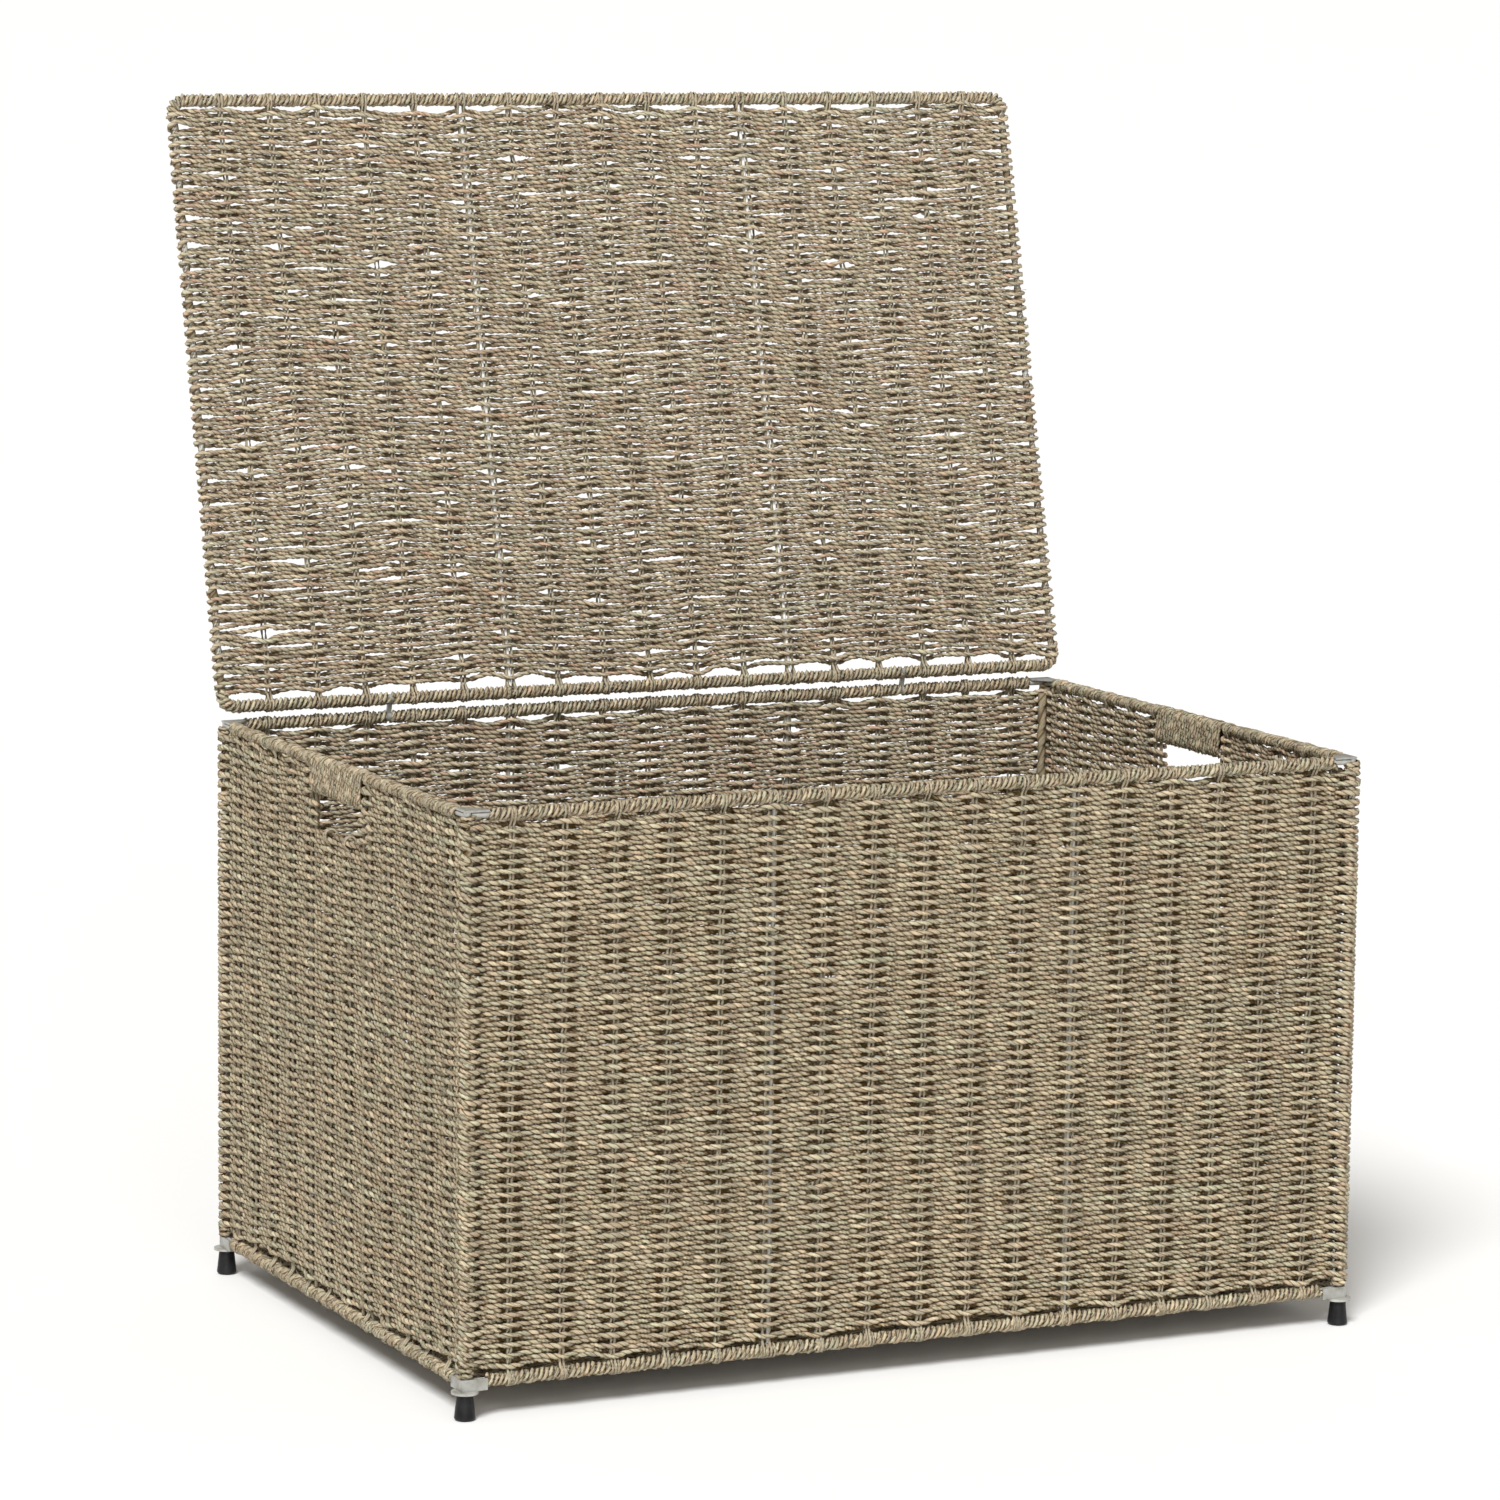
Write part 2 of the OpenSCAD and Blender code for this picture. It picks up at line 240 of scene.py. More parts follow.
def twisted_grass():
    """Colour, height and roughness of a two-strand grass cord, with painted shade in the groove and deep in
    the weave.
    """
    group = bpy.data.node_groups.new("twisted_grass", "ShaderNodeTree")
    for name in ("Rust", "Olive"):
        group.interface.new_socket(name, in_out="INPUT", socket_type="NodeSocketFloat")
    group.interface.new_socket("Colour", in_out="OUTPUT", socket_type="NodeSocketColor")
    group.interface.new_socket("Height", in_out="OUTPUT", socket_type="NodeSocketFloat")
    group.interface.new_socket("Roughness", in_out="OUTPUT", socket_type="NodeSocketFloat")
    given = group.nodes.new("NodeGroupInput")
    out = group.nodes.new("NodeGroupOutput")
    cord = add_node(group, "ShaderNodeAttribute", attribute_name="cord").outputs["Vector"]
    split = group.nodes.new("ShaderNodeSeparateXYZ")
    group.links.new(cord, split.inputs[0])
    ridge = maths(group, "ABSOLUTE", split.outputs["Y"])
    strand = maths(group, "SIGN", split.outputs["Y"])
    along = group.nodes.new("ShaderNodeCombineXYZ")
    group.links.new(split.outputs["X"], along.inputs["X"])
    group.links.new(strand, along.inputs["Y"])

    patches = noise(group, scaled(group, along.outputs[0], (1.0, 0.05, 1.0)), 7.0, 3.0, 0.6)
    strands = noise(group, scaled(group, along.outputs[0], (1.0, 3.7, 1.0)), 19.0, 2.0)
    fibres = noise(group, scaled(group, cord, (95.0, 5.0, 5.0)), 1.0, 3.0, 0.65)
    fine = noise(group, scaled(group, cord, (330.0, 11.0, 11.0)), 1.0, 2.0, 0.6)

    base = ramp(group, patches, [(0.34, OLIVE), (0.46, SAGE), (0.54, STRAW), (0.66, TAN)])
    hanks = noise(group, scaled(group, along.outputs[0], (1.0, 0.0, 0.0)), 0.31, 3.0, 0.65)
    base = mixed(group, kept_in(group, hanks, 3.6, -1.55, 0.75), base, TAN)
    olive = maths(group, "MULTIPLY", given.outputs["Olive"], maths(group, "GREATER_THAN", strands, 0.52))
    base = mixed(group, olive, base, OLIVE)
    rusty = maths(group, "MULTIPLY", kept_in(group, strands, 9.0, -4.9), given.outputs["Rust"])
    base = mixed(group, rusty, base, RUST)
    tufts = noise(group, scaled(group, along.outputs[0], (1.0, 1.9, 1.0)), 95.0, 2.0)
    dull = kept_in(group, tufts, -2.4, 1.5)
    base = mixed(group, maths(group, "MULTIPLY", dull, 0.5), base, DARK_AND_SHADE)
    uneven = noise(group, scaled(group, along.outputs[0], (1.0, 1.3, 1.0)), 48.0, 2.0)
    lit = group.nodes.new("ShaderNodeHueSaturation")
    group.links.new(maths(group, "MULTIPLY_ADD", uneven, 2.2, -0.12), lit.inputs["Value"])
    group.links.new(base, lit.inputs["Color"])
    base = lit.outputs["Color"]
    pale = kept_in(group, fibres, 2.9, -0.9)
    between = maths(group, "SUBTRACT", 1.0, pale)
    base = mixed(group, maths(group, "MULTIPLY", between, 0.55), base, DARK_AND_SHADE)
    base = mixed(group, maths(group, "MULTIPLY", pale, 0.42), base, PALE)
    # Painted shade in the groove between the two strands, where the section is drawn in.
    groove = kept_in(group, ridge, -2.7, 1.0)
    base = mixed(group, maths(group, "MULTIPLY", groove, 0.9), base, DARK_AND_SHADE)
    # Painted shade: the open attribute holds each corner's share of light, and corners with little of it are
    # darkened towards the dark grass colour.
    lit_share = add_node(group, "ShaderNodeAttribute", attribute_name="open").outputs["Fac"]
    depth_shade = add_node(group, "ShaderNodeMapRange", interpolation_type="SMOOTHSTEP")
    group.links.new(lit_share, depth_shade.inputs["Value"])
    for socket, value in (("From Min", 0.08), ("From Max", 0.82), ("To Min", 0.97), ("To Max", 0.0)):
        depth_shade.inputs[socket].default_value = value
    base = mixed(group, depth_shade.outputs[0], base, DARK_AND_SHADE)
    height = maths(group, "MULTIPLY_ADD", fibres, 0.6, maths(group, "MULTIPLY", fine, 0.4))
    group.links.new(base, out.inputs["Colour"])
    group.links.new(height, out.inputs["Height"])
    group.links.new(maths(group, "MULTIPLY_ADD", fine, 0.25, 0.55), out.inputs["Roughness"])
    return group


GRASS = twisted_grass()
print("grass group:", len(GRASS.nodes), "nodes")

# %% [markdown]
# ## A worn surface
# Paint, zinc and rubber on a trunk that stands on the ground are never one flat colour. Two colours mixed
# by a noise in the object's own space give faint dirt, and the same noise makes the dirty patches
# rougher.


# %% Worn surface group
def worn_surface():
    """A colour that is a little dirtier and rougher in small patches."""
    group = bpy.data.node_groups.new("worn_surface", "ShaderNodeTree")
    group.interface.new_socket("Clean", in_out="INPUT", socket_type="NodeSocketColor")
    group.interface.new_socket("Dirty", in_out="INPUT", socket_type="NodeSocketColor")
    group.interface.new_socket("Grain", in_out="INPUT", socket_type="NodeSocketFloat")
    group.interface.new_socket("Colour", in_out="OUTPUT", socket_type="NodeSocketColor")
    group.interface.new_socket("Rougher", in_out="OUTPUT", socket_type="NodeSocketFloat")
    group.interface.new_socket("Height", in_out="OUTPUT", socket_type="NodeSocketFloat")
    given = group.nodes.new("NodeGroupInput")
    out = group.nodes.new("NodeGroupOutput")
    place = group.nodes.new("ShaderNodeTexCoord").outputs["Object"]
    patches = noise(group, place, 90.0, 4.0, 0.6)
    grains = add_node(group, "ShaderNodeTexNoise", Detail=2.0)
    group.links.new(place, grains.inputs["Vector"])
    group.links.new(given.outputs["Grain"], grains.inputs["Scale"])
    share = kept_in(group, patches, 3.0, -1.25)
    group.links.new(mixed(group, share, given.outputs["Clean"], given.outputs["Dirty"]), out.inputs["Colour"])
    group.links.new(maths(group, "MULTIPLY_ADD", patches, 0.3, 0.25), out.inputs["Rougher"])
    group.links.new(grains.outputs["Fac"], out.inputs["Height"])
    return group


WORN = worn_surface()
print("worn group:", len(WORN.nodes), "nodes")

# %% [markdown]
# ## Finishes
# The grass finishes differ only in how much rust and olive they show and how bleached they are. The rods
# and wires are painted light grey, the sheet parts are zinc plated, and the feet are black rubber with a
# slight bloom.


# %% Finishes
GRASS_SHINE, RUBBER_SHINE = 0.06, 0.2
FIBRE_BUMP, FIBRE_RELIEF = 0.6, 0.6 * MM
WORN_RELIEF = 0.2 * MM
PAINT_GRAIN, ZINC_GRAIN, RUBBER_GRAIN = 900.0, 700.0, 1500.0


def new_finish(name):
    """A material with its Principled shader and tree."""
    finish = bpy.data.materials.new(name)
    finish.use_nodes = True
    return finish, finish.node_tree, finish.node_tree.nodes["Principled BSDF"]


def bumped(tree, shader, height, strength, distance):
    """A bump on a shader's normal."""
    bump = add_node(tree, "ShaderNodeBump", Strength=strength, Distance=distance)
    tree.links.new(height, bump.inputs["Height"])
    tree.links.new(bump.outputs["Normal"], shader.inputs["Normal"])


def grass_finish(name, rust, olive, bleach=0.0):
    """Seagrass cord with its share of rusty and olive strands, and bleached by some amount."""
    finish, tree, shader = new_finish(name)
    grass = add_node(tree, "ShaderNodeGroup", node_tree=GRASS)
    grass.inputs["Rust"].default_value = rust
    grass.inputs["Olive"].default_value = olive
    tree.links.new(mixed(tree, bleach, grass.outputs["Colour"], PALE), shader.inputs["Base Color"])
    tree.links.new(grass.outputs["Roughness"], shader.inputs["Roughness"])
    shader.inputs["Specular IOR Level"].default_value = GRASS_SHINE
    bumped(tree, shader, grass.outputs["Height"], FIBRE_BUMP, FIBRE_RELIEF)
    return finish


def worn_finish(name, clean, dirty, grain, metallic, bump):
    """Metal or rubber with small patches of dirt."""
    finish, tree, shader = new_finish(name)
    worn = add_node(tree, "ShaderNodeGroup", node_tree=WORN)
    worn.inputs["Clean"].default_value = clean
    worn.inputs["Dirty"].default_value = dirty
    worn.inputs["Grain"].default_value = grain
    tree.links.new(worn.outputs["Colour"], shader.inputs["Base Color"])
    tree.links.new(worn.outputs["Rougher"], shader.inputs["Roughness"])
    shader.inputs["Metallic"].default_value = metallic
    bumped(tree, shader, worn.outputs["Height"], bump, WORN_RELIEF)
    return finish


wall_grass = grass_finish("wall_grass", 0.45, 0.5)
lid_grass = grass_finish("lid_grass", 0.95, 0.15, 0.035)
red_grass = grass_finish("red_grass", 1.0, 0.0, 0.04)
rail_grass = grass_finish("rail_grass", 0.45, 0.3)
thin_grass = grass_finish("thin_grass", 0.1, 0.4, 0.1)

GREY, GREY_DIRT = (0.42, 0.42, 0.39, 1), (0.24, 0.23, 0.20, 1)
WHITE, WHITE_DIRT = (0.80, 0.80, 0.77, 1), (0.55, 0.54, 0.50, 1)
# A dark brown close to the grass, for the wires that should not show through the weave.
DARK_BROWN, DARK_BROWN_DIRT = (0.22, 0.18, 0.11, 1), (0.12, 0.09, 0.05, 1)
ZINC, ZINC_DIRT = (0.40, 0.40, 0.37, 1), (0.20, 0.19, 0.16, 1)
BLACK, BLACK_DUST = (0.008, 0.008, 0.009, 1), (0.020, 0.019, 0.020, 1)
rod_paint = worn_finish("rod_paint", GREY, GREY_DIRT, PAINT_GRAIN, 0.0, 0.2)
wire_paint = worn_finish("wire_paint", WHITE, WHITE_DIRT, PAINT_GRAIN, 0.0, 0.2)
dark_brown_wire = worn_finish("dark_brown_wire", DARK_BROWN, DARK_BROWN_DIRT, PAINT_GRAIN, 0.0, 0.2)
zinc_plate = worn_finish("zinc_plate", ZINC, ZINC_DIRT, ZINC_GRAIN, 0.3, 0.25)
foot_rubber = worn_finish("foot_rubber", BLACK, BLACK_DUST, RUBBER_GRAIN, 0.0, 0.35)
rubber_shader = foot_rubber.node_tree.nodes["Principled BSDF"]
rubber_shader.inputs["Specular IOR Level"].default_value = RUBBER_SHINE
floor_finish, _, floor_shader = new_finish("pale_floor")
floor_shader.inputs["Base Color"].default_value = (0.92, 0.92, 0.92, 1)
floor_shader.inputs["Roughness"].default_value = 0.9
floor.data.materials.append(floor_finish)
print("finishes:", sorted(finish.name for finish in bpy.data.materials))

# %% [markdown]
# ## Finishes on the CAD pieces
# Rods, wires, sheet parts and feet keep their CAD shape and only get a better finish, through their
# material slots. The wires behind the lid's weave stay bright, and those in the ends and the base are
# painted dark brown, close to the grass around them, so that they do not show through the weave.

# %% Finishes on the CAD pieces
SLOT_FINISH = {"painted_steel": rod_paint, "plated_steel": zinc_plate, "rubber_foot": foot_rubber}
WIRE_FINISH = {
    "lid_wires": wire_paint,
    "wires_left": dark_brown_wire,
    "wires_right": dark_brown_wire,
    "wires_base": dark_brown_wire,
}
refinished = 0
for part in frame["record"]["subparts"]:
    finish = SLOT_FINISH.get(part["material_slot"])
    finish = WIRE_FINISH.get(part["node"], finish)
    if finish:
        for place in range(len(nodes[part["node"]].data.materials)):
            nodes[part["node"]].material_slots[place].material = finish
            refinished += 1
print("CAD material slots refinished:", refinished)

# %% [markdown]
# ## The cord
# The grass cord is two strands laid round each other. Two real strands over half a kilometre of cord
# would need many millions of faces. One section with two rounded lobes and a groove between them gives
# the same lumps and grooves when it turns as it runs along. It is drawn as a mesh circle of six corners,
# two of which are drawn in towards the middle in edit mode. Code then carries it along each path, because
# every cord follows its own computed way through the weave.

# %% Cord sections
LOBE, GROOVE = 2.45 * MM, 1.8 * MM
LAY = 17.5 * MM
CORD_STEP = 3.1 * MM
COARSE = 1


def drawn_section(corners, lobe, groove):
    """A cord's section: a circle of 6 or 4 corners whose top and bottom corners are drawn in."""
    bpy.ops.mesh.primitive_circle_add(vertices=corners, radius=lobe)
    drawing = bpy.context.object
    bpy.ops.object.mode_set(mode="EDIT")
    bpy.ops.mesh.select_mode(type="VERT")
    bpy.ops.mesh.select_all(action="DESELECT")
    bpy.ops.object.mode_set(mode="OBJECT")
    for corner in drawing.data.vertices:
        corner.select = abs(corner.co.x) < lobe / 10
    bpy.ops.object.mode_set(mode="EDIT")
    bpy.ops.transform.resize(value=(1, groove / lobe, 1))
    bpy.ops.object.mode_set(mode="OBJECT")
    drawn = np.array([v.co[:2] for v in drawing.data.vertices])
    bpy.data.objects.remove(drawing, do_unlink=True)
    return drawn[np.argsort(np.arctan2(drawn[:, 1], drawn[:, 0]))]


CORD = drawn_section(6, LOBE, GROOVE)
PLAIN_CORD = drawn_section(4, LOBE, GROOVE)
WOUND = drawn_section(4, 2.6 * MM, 1.9 * MM)
THIN = drawn_section(4, 1.4 * MM, 1.2 * MM)
SLEEVE = drawn_section(6, 4.3 * MM, 3.6 * MM)
FIBRE = drawn_section(4, 0.45 * MM, 0.25 * MM)
print("cord section corners (mm):", (CORD / MM).round(2).tolist())

# %% [markdown]
# ## Carrying a section along a path
# A curve with a bevel would keep one thickness and an even twist. Here each ring of corners is placed by
# itself, so that the twist and the thickness can swing a little, as hand-laid cord does, and each corner
# keeps its place along and round the cord for the finish to read.

# %% Sweep a section along a path
RIPPLES = (57, 170, 76, 217)  # radians a metre: two of the twist, then two of the thickness
TWIST_SWING = (0.7, 0.4)
THICKNESS_SWING = (0.05, 0.05)


def unit(rows):
    """Rows of vectors made one long."""
    return rows / np.linalg.norm(rows, axis=1, keepdims=True)


def lengths_along(path):
    """The distance of each point from the path's start."""
    return np.r_[0, np.cumsum(np.linalg.norm(np.diff(path, axis=0), axis=1))]


def resampled(rows, at, wanted):
    """Rows given at some lengths, read at other lengths."""
    return np.stack([np.interp(wanted, at, rows[:, k]) for k in range(rows.shape[1])], 1)


def swept(path, facing, section, step=CORD_STEP, lay=LAY):
    """The rings of corners of a section that turns as it is swept along a path, their cord coordinates,
    and their share of light for painted shade, which is smaller on the side turned away from facing.

    facing is the direction that the section's first axis starts from: one for the whole path, or one a
    point. Without a step, the rings stand at the path's own points."""
    along = lengths_along(path)
    at = along
    if step:
        at = np.linspace(0, along[-1], max(2, int(round(along[-1] / (step * COARSE))) + 1))
    count = len(at)
    points = resampled(path, along, at)
    tangent = unit(np.gradient(points, axis=0))
    facing = np.asarray(facing, float)
    if facing.ndim == 2:
        facing = resampled(facing, along, at)
    first = unit(facing - (tangent * facing).sum(1)[:, None] * tangent)
    second = np.cross(tangent, first)
    uneven = np.sin(np.outer(at, RIPPLES) + random.uniform(0, 6.28, 4))
    turn = 2 * np.pi * (at / lay + random.uniform())
    turn = turn + uneven[:, 0] * TWIST_SWING[0] + uneven[:, 1] * TWIST_SWING[1]
    own = np.arctan2(section[:, 1], section[:, 0])
    angle = own + (turn[:, None] if COARSE == 1 else 0)
    radius = np.hypot(section[:, 0], section[:, 1]) * (1 + uneven[:, 2:] @ THICKNESS_SWING)[:, None]
    rings = points[:, None] + (radius * np.cos(angle))[..., None] * first[:, None]
    rings += (radius * np.sin(angle))[..., None] * second[:, None]
    sides = len(section)
    coordinates = np.empty((count, sides, 3))
    coordinates[..., 0] = (at + random.uniform(0, 40))[:, None]
    coordinates[..., 1] = np.cos(own)
    coordinates[..., 2] = np.sin(own)
    # Painted shade: corners turned away from facing get a smaller share of light, so that side of the cord is
    # painted darker, for a wound cord the side towards its rail.
    lit_share = 0.5 + 0.5 * np.cos(angle)
    return rings, coordinates, lit_share


# Painted shade: a woven cord is painted darkest at the middle of its sheet, and not at all from this distance
# out.
SHADE_FREE_DISTANCE = 2.6 * MM


def in_weave(cord, sheet):
    """A woven cord with painted shade: its share of light grows with its distance from the middle of the
    sheet.
    """
    rings, coordinates, _ = cord
    return rings, coordinates, np.abs((rings - sheet.origin) @ sheet.w) / SHADE_FREE_DISTANCE


def ring_faces(count, sides):
    """Four-cornered faces between rings, and over both ends."""
    ring = np.arange(count - 1)[:, None] * sides
    here = np.arange(sides)[None]
    after = (here + 1) % sides
    around = np.stack([ring + here, ring + after, ring + sides + after, ring + sides + here], 2)
    around = around.reshape(-1, 4)
    cap = np.array([(0, k, k + 1, k + 2) for k in range(1, sides - 2, 2)])
    return np.concatenate([around, cap[:, ::-1], cap + (count - 1) * sides])


def cord_piece(name, cords, finish, body, replaced=()):
    """One mesh piece from swept cords, with the cord attribute and the open attribute of painted shade, which
    its finish reads.
    """
    faces, shift = [], 0
    for rings, _, _ in cords:
        faces.append(ring_faces(*rings.shape[:2]) + shift)
        shift += rings.shape[0] * rings.shape[1]
    faces = np.concatenate(faces)
    corners = np.concatenate([rings.reshape(-1, 3) for rings, _, _ in cords])
    coordinates = np.concatenate([given.reshape(-1, 3) for _, given, _ in cords])
    lit_share = np.concatenate([given.ravel() for _, _, given in cords])
    mesh = bpy.data.meshes.new(name)
    mesh.vertices.add(len(corners))
    mesh.vertices.foreach_set("co", corners.astype(np.float32).ravel())
    mesh.loops.add(faces.size)
    mesh.loops.foreach_set("vertex_index", faces.astype(np.int32).ravel())
    mesh.polygons.add(len(faces))
    mesh.polygons.foreach_set("loop_start", np.arange(0, faces.size, 4, dtype=np.int32))
    mesh.polygons.foreach_set("use_smooth", np.ones(len(faces), dtype=bool))
    mesh.attributes.new("cord", "FLOAT_VECTOR", "POINT")
    mesh.attributes["cord"].data.foreach_set("vector", coordinates.astype(np.float32).ravel())
    # The open attribute carries each corner's share of light, which the grass finish turns into painted
    # shade.
    mesh.attributes.new("open", "FLOAT", "POINT")
    mesh.attributes["open"].data.foreach_set("value", lit_share.astype(np.float32))
    mesh.update(calc_edges=True)
    mesh.materials.append(finish)
    piece = bpy.data.objects.new(name, mesh)
    bpy.context.scene.collection.objects.link(piece)
    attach(piece, body)
    if replaced:
        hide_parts(*replaced)
    print(name, 2 * len(faces), "triangles")
    return piece


def cord_pieces(name, cord, number, finish, body, replaced):
    """One long cord, cut into several pieces of mesh that share their end rings."""
    rings, coordinates, lit_share = cord
    cuts = np.linspace(0, len(rings) - 1, number + 1).astype(int)
    for place, (start, stop) in enumerate(zip(cuts, cuts[1:])):
        part = (rings[start:stop + 1], coordinates[start:stop + 1], lit_share[start:stop + 1])
        cord_piece(f"{name}_{place + 1}", [part], finish, body, replaced)


# %% [markdown]
# ## The weave
# Each wall is a plain weave. The thick cord runs to and fro, passes in front of one pair of upright cords
# and behind the next, turns round the corner post and comes back on the other side. Where two
# neighbouring rows pass an upright on opposite sides, a dark slot opens, and the slots of neighbouring
# uprights lie half a step apart. Nothing on the real trunk is quite even, so each row wanders a little by
# itself, all rows wander together in long waves, and here and there two rows part and leave a slit. A
# wall is described in its own directions: u along the rows, v up the stack of rows, and w out of the
# wall.

# %% Weave measures
ROW_PITCH = 4.03 * MM
LONG_WARPS, LONG_PITCH = 17, 45.3 * MM
SHORT_WARPS, SHORT_PITCH = 12, 42.9 * MM
SWING, WIRE_SWING, POST_TURN, HOLE_TURN = 3.1 * MM, 3.8 * MM, 5.3 * MM, 4.2 * MM
SHARPNESS = 4.4
DENSE = 1.5 * MM
WIRE_PLACE = 3  # a wire stands at the third upright on each side of the middle one
WIRE_REACH, CALM_REACH, TURN_REACH = 12 * MM, 30 * MM, 16 * MM
SLIT_REACH, SLIT_FADE = 24 * MM, 7 * MM
SCALLOP, SCALLOP_FADE = 1.2 * MM, 9 * MM
random = np.random.default_rng(209)
print("uprights in a long and a short sheet:", LONG_WARPS, SHORT_WARPS)


class Sheet:
    """A woven sheet: its place, its directions u, v, w, its uprights, and how unevenly it is woven."""

    def __init__(self, origin, u, v, w, half, warps, pitch, waviness, roughness, slits, v_range):
        self.origin, self.u, self.v, self.w = (np.array(x, float) for x in (origin, u, v, w))
        self.half, self.roughness, self.range = half, roughness, v_range
        self.wired = warps == LONG_WARPS
        self.warps = (np.arange(warps) - (warps - 1) / 2) * pitch + random.normal(0, 0.9 * MM, warps)
        self.waves = [
            (waviness * part, 2 * np.pi / along, 2 * np.pi / upward, random.uniform(0, 6.28))
            for part, along, upward in ((1.0, 0.37, 0.9), (0.6, 0.21, 0.31), (0.35, 0.12, 0.17))
        ]
        self.slits = np.stack([
            random.choice(self.warps, slits) + random.normal(0, 6 * MM, slits),
            random.uniform(*v_range, slits),
            random.uniform(0.3, 1.2, slits) * MM,
            random.uniform(5, 9, slits) * MM,
        ], 1)

    def place(self, local):
        """World points from rows of u, v, w."""
        return self.origin + local @ np.stack([self.u, self.v, self.w])

    def passed(self, u):
        """How many uprights lie between the sheet's low end and u, with parts."""
        stations = np.r_[-self.half, self.warps, self.half]
        return np.interp(u, stations, np.arange(len(stations)))

    def wander(self, u, v):
        """How far the waves and slits move a row's points up."""
        moved = sum(size * np.sin(a * u + b * v + shift) for size, a, b, shift in self.waves)
        for at_u, at_v, size, length in self.slits[np.abs(self.slits[:, 1] - v) < SLIT_REACH]:
            away = v - at_v
            fade = np.exp(-abs(away) / SLIT_FADE - ((u - at_u) / length) ** 2)
            moved = moved + np.sign(away) * size * fade
        scallop = SCALLOP * np.cos(2 * np.pi * self.passed(u)) * (1 + 0.6 * np.sin(u * 37))
        low, high = self.range
        return moved + scallop * (np.exp((v - high) / SCALLOP_FADE) - np.exp((low - v) / SCALLOP_FADE))


def row_line(sheet, v, number, start, stop, turn_start, turn_stop):
    """One row of cord, from start to stop. At an end it stands off by that end's turn."""
    count = max(4, int(abs(stop - start) / DENSE))
    u = np.linspace(start, stop, count)
    wave = np.cos(np.pi * (sheet.passed(u) + number))
    swing = SWING * np.sign(wave) * np.abs(wave) ** SHARPNESS
    if sheet.wired:
        wire_u = abs(sheet.warps[len(sheet.warps) // 2 + WIRE_PLACE])
        at_wire = np.abs(np.abs(u) - wire_u) < WIRE_REACH
        swing = swing * np.where(at_wire, WIRE_SWING / SWING, 1)
    far = np.abs(u - start), np.abs(u - stop)
    own = sum(
        random.normal(0, sheet.roughness / (k + 1)) * np.sin(2 * np.pi * u / length + random.uniform(0, 6.28))
        for k, length in enumerate((0.19, 0.083, 0.047, 0.031))
    )
    calm = np.clip(np.minimum(*far) / CALM_REACH, 0, 1)
    line = np.stack([u, v + sheet.wander(u, v) + calm * own, swing], 1)
    for away, turn in zip(far, (turn_start, turn_stop)):
        near = np.clip(1 - away / TURN_REACH, 0, 1)
        near = near * near * (3 - 2 * near)
        line[:, 2] = line[:, 2] * (1 - near) + turn * near
    return line


def to_and_fro(sheet, rows, first=0, ends=None, turns=(POST_TURN, POST_TURN), backwards=False):
    """One cord that goes to and fro over the given rows and turns round what stands at both ends.

    A row stands off outwards at its low end when its number is even."""
    ends = ends or (-sheet.half, sheet.half)
    whole = ends[0] <= -sheet.half and ends[1] >= sheet.half
    intervals = len(sheet.warps) + 1 if whole else 0
    lines = []
    for place, v in enumerate(rows):
        number = first + place
        signs = [(-1) ** number, (-1) ** (number + intervals)]
        stands = [sign * turn for sign, turn in zip(signs, turns)]
        way = 1 if (place % 2 == 0) != backwards else -1
        lines.append(row_line(sheet, v, number, *ends[::way], *stands[::way]))
    path = [lines[0]]
    for line, after in zip(lines, lines[1:]):
        (u0, v0, w0), (u1, v1, w1) = line[-1], after[0]
        outward = np.sign(line[-1, 0] - line[-2, 0])
        angle = np.linspace(0, np.pi, 9)[1:-1]
        path.append(np.stack([
            (u0 + u1) / 2 + outward * abs(w0 - w1) / 2 * np.sin(angle),
            v0 + (v1 - v0) * angle / np.pi,
            (w0 + w1) / 2 + (w0 - w1) / 2 * np.cos(angle),
        ], 1))
        path.append(after)
    return np.concatenate(path)


# %% [markdown]
# ## The four walls
# Each long wall is one cord of about ninety metres, cut into pieces of mesh to keep each one light. An end
# wall's rows lie half a step higher than a long wall's rows, so that their loops take turns on the corner
# posts and cover them. The front is woven most evenly, and the rear has the most and the widest slits.

# %% Walls
half_length = (trunk_right - trunk_left) / 2
half_depth = (rear_y - front_y) / 2
RAIL_RADIUS = 6.4 * MM
first_row = rail_low + RAIL_RADIUS + 4.0 * MM
last_row = rail_high - RAIL_RADIUS - 2.6 * MM
wall_rows = np.arange(first_row, last_row + 1e-6, ROW_PITCH)
print("rows in a wall:", len(wall_rows), "from", round(first_row, 4), "to", round(wall_rows[-1], 4))
WALL_RANGE = (first_row, last_row)
UP = (0, 0, 1)
LONG, SHORT = (half_length, LONG_WARPS, LONG_PITCH), (half_depth, SHORT_WARPS, SHORT_PITCH)
mid_y = trunk_base.y
FRONT_UNEVEN, REAR_UNEVEN = (0.5 * MM, 0.24 * MM, 170), (0.8 * MM, 0.3 * MM, 420)
LEFT_UNEVEN, RIGHT_UNEVEN = (1.4 * MM, 0.25 * MM, 90), (1.2 * MM, 0.25 * MM, 120)
REAR_SLIT = 1.5
right_way, back_way = (1, 0, 0), (0, 1, 0)
walls = {
    "front": Sheet((0, front_y, 0), right_way, UP, (0, -1, 0), *LONG, *FRONT_UNEVEN, WALL_RANGE),
    "rear": Sheet((0, rear_y, 0), right_way, UP, (0, 1, 0), *LONG, *REAR_UNEVEN, WALL_RANGE),
    "left": Sheet((trunk_left, mid_y, 0), back_way, UP, (-1, 0, 0), *SHORT, *LEFT_UNEVEN, WALL_RANGE),
    "right": Sheet((trunk_right, mid_y, 0), back_way, UP, (1, 0, 0), *SHORT, *RIGHT_UNEVEN, WALL_RANGE),
}
